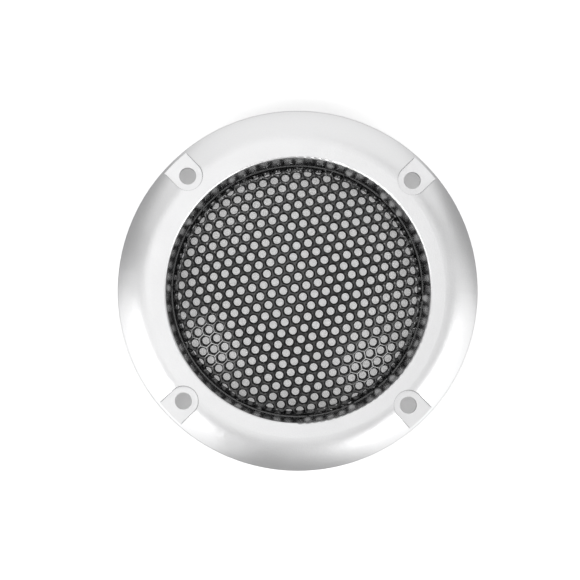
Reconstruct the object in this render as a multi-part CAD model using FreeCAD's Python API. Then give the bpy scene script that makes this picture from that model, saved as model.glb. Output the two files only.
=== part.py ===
# Round tweeter grille cover: a silver trim ring, a domed perforated steel grille in its opening,
# and the rear ring that clamps the grille's flange.
# Millimetres. The back face that lies on the panel is z = 0, the front faces +Z, and the axis is Z.
import FreeCAD, Part

import math
import os

# ---- driving dimensions -------------------------------------------------------------------
OVERALL_DIAMETER = 66.0
OPENING_DIAMETER = 46.0        # at the foot of the ring's inner wall, where the grille starts
RING_HEIGHT = 9.0

# trim ring, front
WALL = 1.6                     # moulded wall thickness
SKIRT_TOP_RADIUS = 32.85       # the outer side leans in from the back face to here
LAND_RADIUS = 26.8             # outer edge of the flat land beside the lip
FLARE_ARC = 8.8                # convex flare, level where it leaves the land
EDGE_ROUND = 0.25
LIP_ROUND = 0.4
WALL_LEAN = 10.0               # degrees from the axis, opening towards the front
SEAT_Z = 2.8                   # foot of the inner wall, which the grille's flange meets

# trim ring, screw pockets
SCREW_CIRCLE = 58.0
SCREW_COUNT = 4
SCREW_HOLE_RADIUS = 1.55
POCKET_RADIUS = 2.8
POCKET_FLOOR_Z = 7.0
POCKET_FLOOR_THICKNESS = 2.2
POCKET_WALL = 1.3
BOSS_RADIUS = 3.0
BOSS_RELIEF_RADIUS = 2.2

# trim ring, back
SHELF_RADIUS = 27.0            # shelf that the clamp ring lies against
SHELF_THICKNESS = 1.4
RIB_THICKNESS = 1.2
RIB_SPACING = 22.5             # degrees
RIB_BACK_Z = 0.8
STAKE_COUNT = 8
STAKE_CIRCLE_RADIUS = 25.85
STAKE_RADIUS = 0.75
STAKE_HEAD_RADIUS = 1.35
STAKE_HEAD_HEIGHT = 0.55

# grille
SHEET = 0.6
CROWN_Z = 9.6                  # highest point of the grille's front
DOME_RADIUS = 55.5
DOME_EDGE_RADIUS = 21.85       # where the dome turns down into its side
BEND_RADIUS = 1.0              # front side of that bend
SIDE_LEAN = 12.0               # degrees from the axis
FOOT_ROUND = 0.25              # front side of the bend into the flange
FLANGE_RADIUS = 24.8
HOLE_PITCH = 2.165
HOLE_RADIUS = 0.7
HOLE_MOUTH_RADIUS = 0.95
HOLE_MOUTH_DEPTH = 0.3
HOLE_ROW_ANGLE = 14.6          # degrees from +X to the nearest row of holes
HOLE_OFFSET = (-0.65, 0.40)    # hole nearest the crown

# clamp ring
CLAMP_INNER_RADIUS = 23.1
CLAMP_BACK_Z = 0.8
CLAMP_CLEARANCE = 0.1
CLAMP_CHAMFER = 0.4

AXIS = FreeCAD.Vector(0, 0, 1)
ORIGIN = FreeCAD.Vector(0, 0, 0)


# ---- helpers ------------------------------------------------------------------------------
def at(radius, z):
    """Point of a cross-section, in the half-plane y = 0."""
    return FreeCAD.Vector(radius, 0, z)


def leaning(lean):
    """Unit vector of a cross-section, leaning outwards from the axis by this many radians."""
    return at(math.sin(lean), math.cos(lean))


def line(start, end):
    return Part.LineSegment(start, end).toShape()


def arc(centre, radius, from_lean, to_lean):
    """Arc of a cross-section between two leans, which are measured as in leaning()."""
    leans = (from_lean, (from_lean + to_lean) / 2, to_lean)
    return Part.Arc(*[centre + leaning(lean) * radius for lean in leans]).toShape()


def first_point(edge):
    return edge.valueAt(edge.FirstParameter)


def last_point(edge):
    return edge.valueAt(edge.LastParameter)


def outline(corners):
    """Edges of a closed polygon."""
    return [line(corners[i - 1], corners[i]) for i in range(len(corners))]


def turned(edges):
    """Solid of revolution about the axis, from the edges of a closed cross-section."""
    return Part.Face(Part.Wire(edges)).revolve(ORIGIN, AXIS, 360)


def cylinder(radius, low_z, high_z, x):
    """Upright cylinder whose axis is this far out along +X."""
    return Part.makeCylinder(radius, high_z - low_z, at(x, low_z))


def ring_of(shape, angles):
    """One copy of a shape for each angle about the axis."""
    copies = []
    for angle in angles:
        copy = shape.copy()
        copy.rotate(ORIGIN, AXIS, angle)
        copies.append(copy)
    return copies


def circular_edges(shape, radius, z):
    """Circles about the axis at this radius and height."""
    found = []
    for edge in shape.Edges:
        curve = edge.Curve
        if isinstance(curve, Part.Circle) and abs(curve.Radius - radius) < 1e-3:
            if abs(curve.Center.z - z) < 1e-3:
                found.append(edge)
    return found


# ---- places worked out from the dimensions ------------------------------------------------
outer_radius = OVERALL_DIAMETER / 2
opening_radius = OPENING_DIAMETER / 2
skirt_back_radius = outer_radius - WALL
wall_slope = math.tan(math.radians(WALL_LEAN))
lip_radius = opening_radius + (RING_HEIGHT - SEAT_Z) * wall_slope
flare_centre = at(LAND_RADIUS, RING_HEIGHT - FLARE_ARC)
flare_end_lean = math.asin((SKIRT_TOP_RADIUS - LAND_RADIUS) / FLARE_ARC)
ceiling_z = RING_HEIGHT - WALL
shelf_top_z = SEAT_Z + SHELF_THICKNESS
pocket_back_z = POCKET_FLOOR_Z - POCKET_FLOOR_THICKNESS
screw_radius = SCREW_CIRCLE / 2
screw_angles = [45 + i * 360 / SCREW_COUNT for i in range(SCREW_COUNT)]
stake_angles = [(i + 0.5) * 360 / STAKE_COUNT for i in range(STAKE_COUNT)]
rib_places = [i * RIB_SPACING for i in range(round(360 / RIB_SPACING))]
rib_angles = [angle for angle in rib_places if angle not in screw_angles]

dome_centre = at(0, CROWN_Z - DOME_RADIUS)
dome_edge_lean = math.asin(DOME_EDGE_RADIUS / DOME_RADIUS)
side_normal = math.radians(90 - SIDE_LEAN)
bend_centre = dome_centre + leaning(dome_edge_lean) * (DOME_RADIUS - BEND_RADIUS)
side_top = bend_centre + leaning(side_normal) * BEND_RADIUS
foot_z = SEAT_Z + FOOT_ROUND * (1 - math.cos(side_normal))
side_foot = side_top + at(math.tan(math.radians(SIDE_LEAN)), -1) * (side_top.z - foot_z)
foot_centre = side_foot + leaning(side_normal) * FOOT_ROUND


# ---- trim ring ----------------------------------------------------------------------------
def ring_envelope():
    """Front and outside of the ring, solid behind."""
    flare = arc(flare_centre, FLARE_ARC, 0, flare_end_lean)
    lip = at(lip_radius, RING_HEIGHT)
    skirt_top = last_point(flare)
    body = turned([
        line(at(opening_radius, SEAT_Z), lip),
        line(lip, first_point(flare)),
        flare,
        line(skirt_top, at(outer_radius, 0)),
        line(at(outer_radius, 0), at(opening_radius, 0)),
        line(at(opening_radius, 0), at(opening_radius, SEAT_Z)),
    ])
    body = body.makeFillet(EDGE_ROUND, circular_edges(body, skirt_top.x, skirt_top.z))
    return body.makeFillet(LIP_ROUND, circular_edges(body, lip.x, lip.z))


def rear_hollow():
    """Space behind the moulded wall, with the shelf for the clamp ring left standing."""
    inside = opening_radius - WALL
    wall_back = opening_radius + WALL
    ceiling = arc(flare_centre, FLARE_ARC - WALL, 0, flare_end_lean)
    corners = [
        last_point(ceiling),
        at(skirt_back_radius, 0),
        at(inside, 0),
        at(inside, SEAT_Z),
        at(SHELF_RADIUS, SEAT_Z),
        at(SHELF_RADIUS, shelf_top_z),
        at(wall_back + SHELF_THICKNESS * wall_slope, shelf_top_z),
        at(wall_back + (ceiling_z - SEAT_Z) * wall_slope, ceiling_z),
        first_point(ceiling),
    ]
    walls = [line(corners[i], corners[i + 1]) for i in range(len(corners) - 1)]
    return turned(walls + [ceiling])


def pocket_block(side_radius, low_z, high_z):
    """U-shaped block about the screw axis: round towards the centre, open outwards."""
    corner = FreeCAD.Vector(screw_radius, -side_radius, low_z)
    block = Part.makeBox(outer_radius, 2 * side_radius, high_z - low_z, corner)
    return block.fuse(cylinder(side_radius, low_z, high_z, screw_radius)).removeSplitter()


def rib():
    """Radial rib across the hollow, clear of the clamp ring and buried in the front wall."""
    clear_of_clamp = SHELF_RADIUS + CLAMP_CLEARANCE
    in_front_wall = RING_HEIGHT - WALL / 2
    corners = [
        at(opening_radius + WALL, shelf_top_z),
        at(clear_of_clamp, shelf_top_z),
        at(clear_of_clamp, RIB_BACK_Z),
        at(outer_radius - WALL / 2, RIB_BACK_Z),
        at(outer_radius - WALL / 2, POCKET_FLOOR_Z),
        at(LAND_RADIUS, in_front_wall),
        at(opening_radius + WALL, in_front_wall),
    ]
    plate = Part.Face(Part.Wire(outline(corners))).extrude(FreeCAD.Vector(0, RIB_THICKNESS, 0))
    plate.translate(FreeCAD.Vector(0, -RIB_THICKNESS / 2, 0))
    return plate


def stake():
    """Post through the clamp ring, with its end melted into a low domed head."""
    post = cylinder(STAKE_RADIUS, CLAMP_BACK_Z, SEAT_Z, STAKE_CIRCLE_RADIUS)
    ball_radius = (STAKE_HEAD_RADIUS**2 + STAKE_HEAD_HEIGHT**2) / (2 * STAKE_HEAD_HEIGHT)
    ball_z = CLAMP_BACK_Z - STAKE_HEAD_HEIGHT + ball_radius
    ball = Part.makeSphere(ball_radius, at(STAKE_CIRCLE_RADIUS, ball_z))
    below_clamp = cylinder(2 * STAKE_HEAD_RADIUS, 0, CLAMP_BACK_Z, STAKE_CIRCLE_RADIUS)
    return post.fuse(ball.common(below_clamp)).removeSplitter()


def trim_ring():
    boss = cylinder(BOSS_RADIUS, 0, POCKET_FLOOR_Z, screw_radius)
    pad = pocket_block(POCKET_RADIUS + POCKET_WALL, pocket_back_z, RING_HEIGHT)
    pocket = pocket_block(POCKET_RADIUS, POCKET_FLOOR_Z, 2 * RING_HEIGHT)
    hole = cylinder(SCREW_HOLE_RADIUS, -RING_HEIGHT, RING_HEIGHT, screw_radius)
    relief = cylinder(BOSS_RELIEF_RADIUS, -RING_HEIGHT, pocket_back_z, screw_radius)
    kept = ring_of(boss, screw_angles) + ring_of(pad, screw_angles) + ring_of(rib(), rib_angles)
    body = ring_envelope().cut(rear_hollow().cut(kept))
    body = body.fuse(ring_of(stake(), stake_angles))
    for removed in (pocket, hole, relief):
        body = body.cut(ring_of(removed, screw_angles))
    return body.removeSplitter()


# ---- grille -------------------------------------------------------------------------------
def rim_side(depth):
    """Edges of the sheet's section at this depth below its front, from the dome outwards."""
    bend = arc(bend_centre, BEND_RADIUS - depth, dome_edge_lean, side_normal)
    foot = arc(foot_centre, FOOT_ROUND + depth, side_normal + math.pi, math.pi)
    side = line(last_point(bend), first_point(foot))
    flange = line(last_point(foot), at(FLANGE_RADIUS, SEAT_Z - depth))
    return [bend, side, foot, flange]


def ball(radius):
    """Ball about the dome's centre, with its poles and its seam away from the dome."""
    sideways = FreeCAD.Vector(0, 1, 0)
    whole = Part.makeSphere(radius, dome_centre, sideways)
    whole.rotate(dome_centre, sideways, 180)
    return whole


def grille_sheet():
    """The formed sheet before punching: a spherical dome in a turned rim."""
    front = rim_side(0)
    back = rim_side(SHEET)
    dome_end = line(first_point(back[0]), first_point(front[0]))
    flange_end = line(last_point(front[-1]), last_point(back[-1]))
    rim = turned([dome_end] + front + [flange_end] + back[::-1])
    edge_ray = leaning(dome_edge_lean) * DOME_RADIUS
    cone = turned(outline([
        dome_centre,
        dome_centre + edge_ray * 1.1,
        dome_centre + at(0, edge_ray.z * 1.1),
    ]))
    dome = ball(DOME_RADIUS).cut(ball(DOME_RADIUS - SHEET)).common(cone)
    return dome.fuse(rim)


dome_run = (DOME_RADIUS - SHEET / 2) * dome_edge_lean
bend_run = (BEND_RADIUS - SHEET / 2) * (side_normal - dome_edge_lean)
side_run = side_top.distanceToPoint(side_foot)


def place_on_sheet(travel):
    """Point of the sheet's front, and the lean of its surface there, at this distance from the
    crown along the middle of the sheet."""
    if travel <= dome_run:
        lean = travel / (DOME_RADIUS - SHEET / 2)
        return dome_centre + leaning(lean) * DOME_RADIUS, lean
    if travel <= dome_run + bend_run:
        lean = dome_edge_lean + (travel - dome_run) / (BEND_RADIUS - SHEET / 2)
        return bend_centre + leaning(lean) * BEND_RADIUS, lean
    share = (travel - dome_run - bend_run) / side_run
    return side_top + (side_foot - side_top) * share, side_normal


def hole_places():
    """Triangular lattice of holes on the flat blank, as (distance, direction) from the crown.
    The last holes stop short of the foot."""
    row = math.radians(HOLE_ROW_ANGLE)
    next_row = row + math.radians(60)
    reach = dome_run + bend_run + side_run - HOLE_MOUTH_RADIUS
    count = 2 * math.ceil(reach / HOLE_PITCH)
    for i in range(-count, count + 1):
        for j in range(-count, count + 1):
            x = HOLE_OFFSET[0] + HOLE_PITCH * (i * math.cos(row) + j * math.cos(next_row))
            y = HOLE_OFFSET[1] + HOLE_PITCH * (i * math.sin(row) + j * math.sin(next_row))
            if math.hypot(x, y) <= reach:
                yield math.hypot(x, y), math.atan2(y, x)


def punch():
    """Cutter for one hole, along the axis through a sheet whose front is z = 0: straight, with
    a wider mouth at the front. It ends a little past both faces."""
    past_front = 0.05
    past_back = 0.4
    mouth_slope = (HOLE_MOUTH_RADIUS - HOLE_RADIUS) / HOLE_MOUTH_DEPTH
    return turned(outline([
        at(0, -SHEET - past_back),
        at(HOLE_RADIUS, -SHEET - past_back),
        at(HOLE_RADIUS, -HOLE_MOUTH_DEPTH),
        at(HOLE_MOUTH_RADIUS + mouth_slope * past_front, past_front),
        at(0, past_front),
    ]))


def mesh_grille():
    cutter = punch()
    cutters = []
    for travel, direction in hole_places():
        place, lean = place_on_sheet(travel)
        placed = cutter.copy()
        placed.rotate(ORIGIN, FreeCAD.Vector(0, 1, 0), math.degrees(lean))
        placed.translate(place)
        placed.rotate(ORIGIN, AXIS, math.degrees(direction))
        cutters.append(placed)
    print("holes in the grille:", len(cutters))
    return grille_sheet().cut(cutters)


# ---- clamp ring ---------------------------------------------------------------------------
def clamp_ring():
    """L-section ring that presses the flange on the seat, notched around the screw bosses."""
    flange_back_z = SEAT_Z - SHEET
    rim_radius = FLANGE_RADIUS + CLAMP_CLEARANCE
    body = turned(outline([
        at(CLAMP_INNER_RADIUS + CLAMP_CHAMFER, CLAMP_BACK_Z),
        at(SHELF_RADIUS, CLAMP_BACK_Z),
        at(SHELF_RADIUS, SEAT_Z),
        at(rim_radius, SEAT_Z),
        at(rim_radius, flange_back_z),
        at(CLAMP_INNER_RADIUS, flange_back_z),
        at(CLAMP_INNER_RADIUS, CLAMP_BACK_Z + CLAMP_CHAMFER),
    ]))
    notch = cylinder(BOSS_RADIUS + CLAMP_CLEARANCE, 0, RING_HEIGHT, screw_radius)
    stake_hole = cylinder(STAKE_RADIUS + CLAMP_CLEARANCE / 2, 0, RING_HEIGHT, STAKE_CIRCLE_RADIUS)
    return body.cut(ring_of(notch, screw_angles) + ring_of(stake_hole, stake_angles))


# ---- output -------------------------------------------------------------------------------
os.makedirs("parts", exist_ok=True)
for make_part in (trim_ring, mesh_grille, clamp_ring):
    shape = make_part()
    name = make_part.__name__
    print(f"{name}: {len(shape.Solids)} solid, valid {shape.isValid()}, {shape.Volume:.1f} mm3")
    shape.exportStep(f"parts/{name}.step")
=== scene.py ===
import math

import bmesh
import bpy
import numpy as np
from mathutils import Matrix, Vector
from mathutils.geometry import delaunay_2d_cdt


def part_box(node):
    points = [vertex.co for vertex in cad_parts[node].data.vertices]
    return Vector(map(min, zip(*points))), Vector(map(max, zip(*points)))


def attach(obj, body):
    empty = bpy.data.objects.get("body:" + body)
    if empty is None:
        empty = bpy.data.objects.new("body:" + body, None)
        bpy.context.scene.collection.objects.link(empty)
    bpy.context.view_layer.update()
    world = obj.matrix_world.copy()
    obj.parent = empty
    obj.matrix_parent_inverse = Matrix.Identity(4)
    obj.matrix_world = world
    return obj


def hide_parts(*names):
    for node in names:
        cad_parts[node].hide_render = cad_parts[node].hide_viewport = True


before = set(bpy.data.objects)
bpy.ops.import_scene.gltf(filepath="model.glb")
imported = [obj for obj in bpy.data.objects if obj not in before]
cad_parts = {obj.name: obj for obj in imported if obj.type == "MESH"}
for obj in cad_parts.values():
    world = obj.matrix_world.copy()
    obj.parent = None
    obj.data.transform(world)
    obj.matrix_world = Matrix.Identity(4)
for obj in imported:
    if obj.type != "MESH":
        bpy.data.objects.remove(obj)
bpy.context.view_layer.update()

MM = 0.001
ring_low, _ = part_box("trim_ring")
grille_low, grille_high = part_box("mesh_grille")

# ---- formed sheet of the grille ------------------------------------------------------------
SHEET = 0.6 * MM
CROWN_Z = grille_high.z
SEAT_Z = grille_low.z + SHEET            # front of the flange
FLANGE_RADIUS = grille_high.x
DOME_RADIUS = 55.5 * MM
DOME_EDGE_RADIUS = 21.85 * MM            # where the dome turns down into its side
BEND_RADIUS = 1.0 * MM
SIDE_LEAN = math.radians(12.0)
FOOT_ROUND = 0.25 * MM                   # where the side meets the flange

# ---- punched holes -------------------------------------------------------------------------
HOLE_PITCH = 2.165 * MM
HOLE_ROW_ANGLE = math.radians(14.6)      # from +X to a row of holes
HOLE_OFFSET = (-0.65 * MM, 0.40 * MM)    # of the hole nearest the crown
LAST_HOLE = 0.1 * MM                     # the last holes are centred this far short of the foot
HOLE_SIDES = 24                          # points round each hole, four to a side of its cell
# Rings of a hole's dished wall, from the cell's border through to the back of the sheet:
# how much of the cell's hexagon the ring keeps, its radius, its depth below the front.
HOLE_WALL = (
    (1.0, HOLE_PITCH / 2, 0.0),
    (1.0, 1.025 * MM, 0.003 * MM),
    (0.72, 0.990 * MM, 0.042 * MM),
    (0.22, 0.905 * MM, 0.180 * MM),
    (0.0, 0.812 * MM, 0.315 * MM),
    (0.0, 0.725 * MM, 0.450 * MM),
    (0.0, 0.700 * MM, SHEET),
    (1.0, HOLE_PITCH / 2, SHEET),
)

# ---- plain band round the holes, and the mesh ----------------------------------------------
BAND_POINTS = 480                        # on each of the band's circles
BAND_CLEARANCE = 0.12 * MM               # the circles' points keep this far from the cells
FOOT_CIRCLES = 7
FLANGE_CIRCLES = 4                       # the first is the last of the foot
SAME_CORNER = 0.001 * MM                 # corners of neighbouring cells are one, this close
SAME_DISTANCE = 1e-6 * MM
WELD_DISTANCE = 0.004 * MM
EPSILON = 1e-6                           # of the triangulation, which is in millimetres
SHARP_ANGLE = math.radians(26)

# ---- finishes ------------------------------------------------------------------------------
NOISE_SPAN = (0.3, 0.7)                  # nearly all of a noise's values lie in here
WALL_ENDS = (23.9 * MM, 24.3 * MM)       # the ring's smooth inner wall turns into its land here
WALL_ROUGHNESS = 0.22
SHADE_REACH = 0.35 * MM                 # painted shade darkens the silver this close to a hollow corner
SHADE_SPAN = (0.5, 0.85)                # openness of a corner, fully in painted shade, and of a face clear of it
CORNER_SHADE_COLOUR = (0.22, 0.22, 0.225)
SHADE_SAMPLES = 8
PAINT_IOR = 1.85


# ---- nodes ---------------------------------------------------------------------------------
def new_material(name):
    """A material with an empty node tree but for its Principled shader and output."""
    material = bpy.data.materials.new(name)
    material.use_nodes = True
    return material, material.node_tree, material.node_tree.nodes["Principled BSDF"]


def add_node(tree, kind, **values):
    """One node, with its properties and its sockets' default values set by name."""
    node = tree.nodes.new(kind)
    for name, value in values.items():
        socket = node.inputs.get(name.replace("_", " ").title())
        if socket is not None:
            socket.default_value = value
        else:
            setattr(node, name, value)
    return node


def noise(tree, where, size, detail=2.0, roughness=0.5):
    """Noise whose features are about this size, in metres, on the object's own coordinates."""
    node = add_node(tree, "ShaderNodeTexNoise", scale=1 / size, detail=detail, roughness=roughness)
    tree.links.new(where, node.inputs["Vector"])
    return node.outputs["Fac"]


def feed(tree, value, socket):
    """Links another node's output to the socket, or sets it to a plain number or colour."""
    if isinstance(value, bpy.types.NodeSocket):
        tree.links.new(value, socket)
    elif isinstance(value, tuple):
        socket.default_value = (*value, 1)
    else:
        socket.default_value = value


def remap(tree, value, span, to_span):
    """Stretches the span, (low, high), on to another one."""
    low, high = span
    to_low, to_high = to_span
    node = add_node(tree, "ShaderNodeMapRange",
                    from_min=low, from_max=high, to_min=to_low, to_max=to_high)
    tree.links.new(value, node.inputs["Value"])
    return node.outputs["Result"]


def blend(tree, factor, first, second, kind="RGBA"):
    """From first to second, each a plain value or a socket. The kind is RGBA or FLOAT."""
    node = add_node(tree, "ShaderNodeMix", data_type=kind)
    into_first, into_second, result = {"FLOAT": (2, 3, 0), "RGBA": (6, 7, 2)}[kind]
    tree.links.new(factor, node.inputs[0])
    feed(tree, first, node.inputs[into_first])
    feed(tree, second, node.inputs[into_second])
    return node.outputs[result]


def distance_from_axis(tree, where):
    """Distance from the cover's round axis."""
    flat = add_node(tree, "ShaderNodeVectorMath", operation="MULTIPLY")
    flat.inputs[1].default_value = (1, 1, 0)
    tree.links.new(where, flat.inputs[0])
    length = add_node(tree, "ShaderNodeVectorMath", operation="LENGTH")
    tree.links.new(flat.outputs["Vector"], length.inputs[0])
    return length.outputs["Value"]


def bump(tree, height, depth, under=None):
    """Normals of a surface this rough in depth, laid over another bump if one is given."""
    node = add_node(tree, "ShaderNodeBump", strength=1.0, distance=depth)
    tree.links.new(height, node.inputs["Height"])
    if under is not None:
        tree.links.new(under, node.inputs["Normal"])
    return node.outputs["Normal"]


# ---- materials -----------------------------------------------------------------------------
def openness(tree, reach):
    """How open each point is to its surroundings: 1 on a flat face, less in a hollow corner."""
    node = add_node(tree, "ShaderNodeAmbientOcclusion",
                    samples=SHADE_SAMPLES, only_local=True, distance=reach)
    return node.outputs["AO"]


def satin_silver():
    """Sprayed silver with a fine metallic grain, painted shade in the corners, smoother on the
    wall.
    """
    material, tree, shader = new_material("satin_silver")
    where = tree.nodes.new("ShaderNodeTexCoord").outputs["Object"]
    cloud = noise(tree, where, 9 * MM, detail=3.0)
    grain = noise(tree, where, 0.28 * MM, detail=3.0, roughness=0.6)
    fleck = noise(tree, where, 0.5 * MM)
    sprayed = blend(tree, grain, (0.85, 0.85, 0.855), (0.90, 0.90, 0.905))
    # painted shade: near a hollow corner an ambient occlusion node turns the silver's colour
    # towards dark grey
    unshaded = remap(tree, openness(tree, SHADE_REACH), SHADE_SPAN, (0.0, 1.0))
    colour = blend(tree, unshaded, CORNER_SHADE_COLOUR, sprayed)
    satin = remap(tree, cloud, NOISE_SPAN, (0.32, 0.38))
    off_wall = remap(tree, distance_from_axis(tree, where), WALL_ENDS, (0.0, 1.0))
    rough = blend(tree, off_wall, WALL_ROUGHNESS, satin, kind="FLOAT")
    shader.inputs["Metallic"].default_value = 1.0
    tree.links.new(colour, shader.inputs["Base Color"])
    tree.links.new(rough, shader.inputs["Roughness"])
    ripple = bump(tree, fleck, 0.003 * MM)
    tree.links.new(bump(tree, grain, 0.017 * MM, under=ripple), shader.inputs["Normal"])
    return material


def painted_black():
    """Glossy black paint on punched steel, with a slight orange peel."""
    material, tree, shader = new_material("painted_black")
    where = tree.nodes.new("ShaderNodeTexCoord").outputs["Object"]
    cloud = noise(tree, where, 4 * MM)
    peel = noise(tree, where, 0.22 * MM)
    colour = blend(tree, cloud, (0.003, 0.003, 0.0035), (0.007, 0.007, 0.0075))
    rough = remap(tree, peel, NOISE_SPAN, (0.10, 0.16))
    shader.inputs["IOR"].default_value = PAINT_IOR
    tree.links.new(colour, shader.inputs["Base Color"])
    tree.links.new(rough, shader.inputs["Roughness"])
    tree.links.new(bump(tree, peel, 0.002 * MM), shader.inputs["Normal"])
    return material


def moulded_black():
    """Black ABS with the fine spark texture of its mould."""
    material, tree, shader = new_material("moulded_black")
    where = tree.nodes.new("ShaderNodeTexCoord").outputs["Object"]
    cloud = noise(tree, where, 6 * MM)
    spark = noise(tree, where, 0.18 * MM, detail=4.0, roughness=0.7)
    colour = blend(tree, cloud, (0.022, 0.022, 0.023), (0.034, 0.034, 0.035))
    rough = remap(tree, spark, NOISE_SPAN, (0.45, 0.62))
    tree.links.new(colour, shader.inputs["Base Color"])
    tree.links.new(rough, shader.inputs["Roughness"])
    tree.links.new(bump(tree, spark, 0.02 * MM), shader.inputs["Normal"])
    return material


# ---- grille mesh ---------------------------------------------------------------------------
def leaning(lean):
    """Unit vectors of a cross-section, as (radius, z), leaning out from the axis by this much."""
    return np.stack([np.sin(lean), np.cos(lean)], axis=-1)


DOME_CENTRE = np.array([0.0, CROWN_Z - DOME_RADIUS])
DOME_EDGE_LEAN = math.asin(DOME_EDGE_RADIUS / DOME_RADIUS)
SIDE_NORMAL = math.pi / 2 - SIDE_LEAN
BEND_CENTRE = DOME_CENTRE + leaning(DOME_EDGE_LEAN) * (DOME_RADIUS - BEND_RADIUS)
SIDE_TOP = BEND_CENTRE + leaning(SIDE_NORMAL) * BEND_RADIUS
SIDE_DROP = SIDE_TOP[1] - SEAT_Z - FOOT_ROUND * (1 - math.cos(SIDE_NORMAL))
SIDE_FOOT = SIDE_TOP + np.array([math.tan(SIDE_LEAN), -1.0]) * SIDE_DROP
FOOT_CENTRE = SIDE_FOOT + leaning(SIDE_NORMAL) * FOOT_ROUND

# Distances from the crown along the middle of the sheet, where one stretch meets the next.
BEND_AT = (DOME_RADIUS - SHEET / 2) * DOME_EDGE_LEAN
SIDE_AT = BEND_AT + (BEND_RADIUS - SHEET / 2) * (SIDE_NORMAL - DOME_EDGE_LEAN)
FOOT_AT = SIDE_AT + SIDE_DROP / math.cos(SIDE_LEAN)
FLANGE_AT = FOOT_AT + (FOOT_ROUND + SHEET / 2) * SIDE_NORMAL
BLANK_RADIUS = FLANGE_AT + FLANGE_RADIUS - FOOT_CENTRE[0]


def formed(blank, depth):
    """Places of points of the flat blank, (x, y), on the formed sheet, this far below its front."""
    travel = np.hypot(blank[:, 0], blank[:, 1])
    around = np.arctan2(blank[:, 1], blank[:, 0])
    on_bend = (travel > BEND_AT) & (travel <= SIDE_AT)
    on_side = (travel > SIDE_AT) & (travel <= FOOT_AT)
    on_foot = (travel > FOOT_AT) & (travel <= FLANGE_AT)
    on_flange = travel > FLANGE_AT
    lean = travel / (DOME_RADIUS - SHEET / 2)
    bend_lean = DOME_EDGE_LEAN + (travel - BEND_AT) / (BEND_RADIUS - SHEET / 2)
    foot_lean = SIDE_NORMAL - (travel - FOOT_AT) / (FOOT_ROUND + SHEET / 2)
    lean = np.where(on_bend, bend_lean, lean)
    lean = np.where(on_side, SIDE_NORMAL, lean)
    lean = np.where(on_foot, foot_lean, lean)
    lean = np.where(on_flange, 0.0, lean)
    normal = leaning(lean)
    down_side = ((travel - SIDE_AT) / (FOOT_AT - SIDE_AT))[:, None]
    outwards = (travel - FLANGE_AT)[:, None] * np.array([1.0, 0.0])
    front = DOME_CENTRE + normal * DOME_RADIUS
    front = np.where(on_bend[:, None], BEND_CENTRE + normal * BEND_RADIUS, front)
    front = np.where(on_side[:, None], SIDE_TOP + (SIDE_FOOT - SIDE_TOP) * down_side, front)
    front = np.where(on_foot[:, None], FOOT_CENTRE - normal * FOOT_ROUND, front)
    flange_edge = FOOT_CENTRE - np.array([0.0, FOOT_ROUND])
    front = np.where(on_flange[:, None], flange_edge + outwards, front)
    radius, height = (front - normal * depth).T
    return np.stack([radius * np.cos(around), radius * np.sin(around), height], axis=1)


def lattice(reach):
    """Centres of the triangular lattice's points within reach of the crown, on the flat blank."""
    count = 2 * math.ceil(reach / HOLE_PITCH)
    i, j = np.meshgrid(np.arange(-count, count + 1), np.arange(-count, count + 1))
    next_row = HOLE_ROW_ANGLE + math.pi / 3
    x = HOLE_OFFSET[0] + HOLE_PITCH * (i * math.cos(HOLE_ROW_ANGLE) + j * math.cos(next_row))
    y = HOLE_OFFSET[1] + HOLE_PITCH * (i * math.sin(HOLE_ROW_ANGLE) + j * math.sin(next_row))
    points = np.stack([x.ravel(), y.ravel()], axis=1)
    return points[np.hypot(points[:, 0], points[:, 1]) <= reach]


def cell_ring(keeps_hexagon, radius):
    """Points of one ring of a hole's cell, about its centre."""
    turn = np.arange(HOLE_SIDES) * 2 * math.pi / HOLE_SIDES
    off_middle = (turn + math.pi / 6) % (math.pi / 3) - math.pi / 6
    reach = radius * (keeps_hexagon / np.cos(off_middle) + 1 - keeps_hexagon)
    turn = turn + HOLE_ROW_ANGLE
    return np.stack([reach * np.cos(turn), reach * np.sin(turn)], axis=1)


def nearest(points, others):
    """Distance from each point to the nearest of the others."""
    return np.linalg.norm(points[:, None] - others[None], axis=2).min(axis=1)


def cells_border(holes):
    """The outline of all the holes' cells: its points, and pairs of them that make its sides."""
    hexagon = cell_ring(1.0, HOLE_PITCH / 2)
    corners = {}
    sides = {}
    for centre in holes:
        keys = []
        for point in centre + hexagon:
            key = (round(point[0] / SAME_CORNER), round(point[1] / SAME_CORNER))
            near = [(key[0] + a, key[1] + b) for a in (-1, 0, 1) for b in (-1, 0, 1)]
            key = next((k for k in near if k in corners), key)
            corners.setdefault(key, point)
            keys.append(key)
        for i in range(HOLE_SIDES):
            side = frozenset((keys[i - 1], keys[i]))
            sides[side] = sides.get(side, 0) + 1
    border = [side for side, uses in sides.items() if uses == 1]
    used = sorted({key for side in border for key in side})
    index = {key: i for i, key in enumerate(used)}
    points = np.array([corners[key] for key in used])
    return points, [tuple(index[key] for key in side) for side in border]


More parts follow.
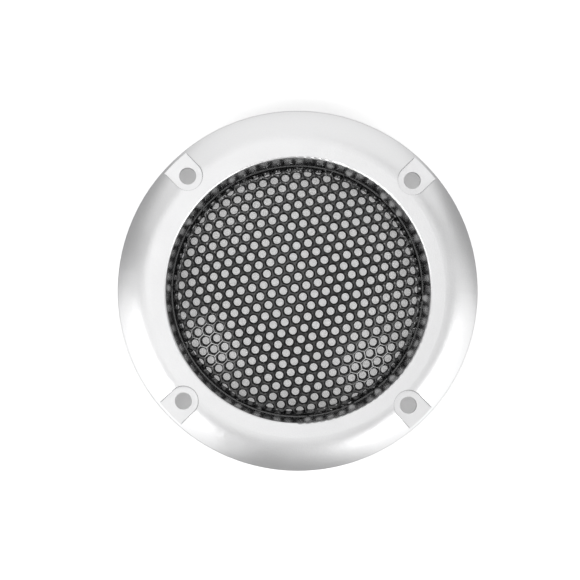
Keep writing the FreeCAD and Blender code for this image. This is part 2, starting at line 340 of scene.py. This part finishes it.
def plain_band(holes):
    """Triangles of the unpunched rim of the blank, from the holes' cells out to its edge."""
    all_cells = lattice(BLANK_RADIUS + HOLE_PITCH)
    border, edges = cells_border(holes)

    def in_cell(points):
        return nearest(points, holes) < nearest(points, all_cells) + SAME_DISTANCE

    circles = [BEND_AT, SIDE_AT, (SIDE_AT + FOOT_AT) / 2]
    circles += list(np.linspace(FOOT_AT, FLANGE_AT, FOOT_CIRCLES))
    circles += list(np.linspace(FLANGE_AT, BLANK_RADIUS, FLANGE_CIRCLES)[1:])
    fill = [border]
    for ring, radius in enumerate(circles):
        turn = (np.arange(BAND_POINTS) + ring % 2 / 2) * 2 * math.pi / BAND_POINTS
        points = np.stack([radius * np.cos(turn), radius * np.sin(turn)], axis=1)
        if radius < BLANK_RADIUS:
            points = points[(nearest(points, border) > BAND_CLEARANCE) & ~in_cell(points)]
        fill.append(points)
    flat = [Vector(point / MM) for point in np.concatenate(fill)]
    made = delaunay_2d_cdt(flat, edges, [], 0, EPSILON)
    places = np.array([list(point) for point in made[0]]) * MM
    triangles = np.array(made[2])
    middles = places[triangles].mean(axis=1)
    return places, triangles[~in_cell(middles)]


def perforated_grille():
    """The whole sheet: a dished hole in every cell, and the plain band round them."""
    holes = lattice(FOOT_AT - LAST_HOLE)
    vertices = []
    for keeps, radius, depth in HOLE_WALL:
        points = (holes[:, None] + cell_ring(keeps, radius)[None]).reshape(-1, 2)
        vertices.append(formed(points, depth))
    per_ring = len(holes) * HOLE_SIDES
    hole_start = (np.arange(len(holes)) * HOLE_SIDES)[:, None]
    first = hole_start + np.arange(HOLE_SIDES)[None]
    second = hole_start + (np.arange(HOLE_SIDES)[None] + 1) % HOLE_SIDES
    faces = []
    for ring in range(len(HOLE_WALL) - 1):
        outer = ring * per_ring
        inner = outer + per_ring
        quads = [first + outer, second + outer, second + inner, first + inner]
        faces += np.stack(quads, axis=2).reshape(-1, 4).tolist()
    front_start = per_ring * len(HOLE_WALL)
    places, triangles = plain_band(holes)
    vertices += [formed(places, 0.0), formed(places, SHEET)]
    faces += (triangles + front_start).tolist()
    faces += (triangles[:, ::-1] + front_start + len(places)).tolist()

    mesh = bpy.data.meshes.new("perforated_dome")
    mesh.from_pydata(np.concatenate(vertices).tolist(), [], faces)
    sheet = bmesh.new()
    sheet.from_mesh(mesh)
    bmesh.ops.remove_doubles(sheet, verts=sheet.verts, dist=WELD_DISTANCE)
    loose = [v for v in sheet.verts if not v.link_faces]
    bmesh.ops.delete(sheet, geom=loose, context="VERTS")
    open_edges = [e for e in sheet.edges if e.is_boundary]
    bmesh.ops.bridge_loops(sheet, edges=open_edges)
    bmesh.ops.recalc_face_normals(sheet, faces=sheet.faces)
    sheet.to_mesh(mesh)
    sheet.free()
    for polygon in mesh.polygons:
        polygon.use_smooth = True
    mesh.set_sharp_from_angle(angle=SHARP_ANGLE)
    return mesh


# ---- the cover's pieces --------------------------------------------------------------------
def put(name, mesh, material, node):
    """Adds a piece that stands for a node of the CAD model."""
    piece = bpy.data.objects.new(name, mesh)
    bpy.context.scene.collection.objects.link(piece)
    mesh.materials.append(material)
    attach(piece, "root")
    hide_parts(node)


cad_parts["trim_ring"].data.materials[0] = satin_silver()
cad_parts["clamp_ring"].data.materials[0] = moulded_black()
put("perforated_dome", perforated_grille(), painted_black(), "mesh_grille")


# ---- camera --------------------------------------------------------------------------------
CAMERA_DISTANCE = 0.600
CAMERA_TILT = (0.023, 0.025)             # sideways and down the picture, for each metre of height
CAMERA_ROLL = math.radians(1.05)
CAMERA_AIM = (-1.30 * MM, 0.28 * MM)     # middle of the picture, in the picture's own directions
FRAME_WIDTH = 107.01 * MM                # what the picture spans at the cover's back face
SENSOR_WIDTH = 36                        # in millimetres, as Blender counts it
CLIP_START = 0.01
CLIP_END = 20


def make_camera():
    """Looks nearly straight down on the front of the cover."""
    right = Vector((math.cos(CAMERA_ROLL), math.sin(CAMERA_ROLL), 0))
    up = Vector((-math.sin(CAMERA_ROLL), math.cos(CAMERA_ROLL), 0))
    aim = right * CAMERA_AIM[0] + up * CAMERA_AIM[1]
    back = Vector((0, 0, 1)) - right * CAMERA_TILT[0] - up * CAMERA_TILT[1]
    camera = bpy.data.objects.new("camera", bpy.data.cameras.new("camera"))
    bpy.context.scene.collection.objects.link(camera)
    camera.location = aim + back * CAMERA_DISTANCE
    z_axis = back.normalized()
    x_axis = up.cross(z_axis).normalized()
    y_axis = z_axis.cross(x_axis)
    turn = Matrix((x_axis, y_axis, z_axis)).transposed()
    camera.rotation_mode = "QUATERNION"
    camera.rotation_quaternion = turn.to_quaternion()
    camera.data.sensor_width = SENSOR_WIDTH
    camera.data.lens = SENSOR_WIDTH * (camera.location - aim).length / FRAME_WIDTH
    camera.data.clip_start = CLIP_START
    camera.data.clip_end = CLIP_END
    bpy.context.scene.camera = camera


# ---- floor and light -----------------------------------------------------------------------
FLOOR_SIZE = 8.0
FLOOR_GAP = 0.02 * MM                    # between the table and the ring's back face
FLOOR_COLOUR = (0.97, 0.97, 0.97, 1)
FLOOR_ROUGHNESS = 0.9
FLOOR_GLOW = 0.255
ROOM_GLOW = 0.325
WHITE = (1, 1, 1, 1)
# Name, azimuth and zenith in degrees, distance, width, height, radiance and shape.
PANELS = (
    ("overhead", 145, 6, 1.1, 0.58, 0.50, 1.0, "RECTANGLE"),
    ("top_side", 88, 58, 1.0, 1.95, 1.63, 0.62, "RECTANGLE"),
    ("lower_left", 213, 73, 1.0, 1.25, 1.79, 0.91, "ELLIPSE"),
    ("lower_right", 327, 68, 1.0, 1.32, 1.92, 0.84, "ELLIPSE"),
    ("spot_left", 213, 40, 1.0, 0.30, 0.22, 7.0, "RECTANGLE"),
    ("spot_right", 320, 41, 1.0, 0.31, 0.21, 7.0, "RECTANGLE"),
)


def make_floor():
    """A pale translucent table, lit a little from below."""
    mesh = bpy.data.meshes.new("floor")
    half = FLOOR_SIZE / 2
    corners = [(-half, -half, 0), (half, -half, 0), (half, half, 0), (-half, half, 0)]
    mesh.from_pydata(corners, [], [(0, 1, 2, 3)])
    floor = bpy.data.objects.new("floor", mesh)
    bpy.context.scene.collection.objects.link(floor)
    floor.location.z = ring_low.z - FLOOR_GAP
    material, _, shader = new_material("pale_table")
    shader.inputs["Base Color"].default_value = FLOOR_COLOUR
    shader.inputs["Roughness"].default_value = FLOOR_ROUGHNESS
    shader.inputs["Emission Color"].default_value = WHITE
    shader.inputs["Emission Strength"].default_value = FLOOR_GLOW
    mesh.materials.append(material)
    floor.visible_glossy = False         # or the steep skirt mirrors the pale table, white on white


def softbox(name, azimuth, zenith, distance, width, height, radiance, shape):
    """A soft panel of this radiance facing the cover, with its width level."""
    light = bpy.data.lights.new(name, "AREA")
    light.shape = shape
    light.size = width
    light.size_y = height
    area = width * height * (math.pi / 4 if shape == "ELLIPSE" else 1)
    light.energy = radiance * math.pi * area
    lamp = bpy.data.objects.new(name, light)
    bpy.context.scene.collection.objects.link(lamp)
    turn, lean = math.radians(azimuth), math.radians(zenith)
    flat = math.sin(lean)
    back = Vector((flat * math.cos(turn), flat * math.sin(turn), math.cos(lean)))
    lamp.location = back * distance
    lamp.rotation_mode = "QUATERNION"
    lamp.rotation_quaternion = back.to_track_quat("Z", "Y")


def make_light():
    """An even pale room, with the panels in it."""
    world = bpy.data.worlds.new("studio")
    bpy.context.scene.world = world
    world.use_nodes = True
    background = world.node_tree.nodes["Background"]
    background.inputs["Color"].default_value = WHITE
    background.inputs["Strength"].default_value = ROOM_GLOW
    for panel in PANELS:
        softbox(*panel)


make_camera()
make_floor()
make_light()
bpy.context.scene.view_settings.view_transform = "Standard"
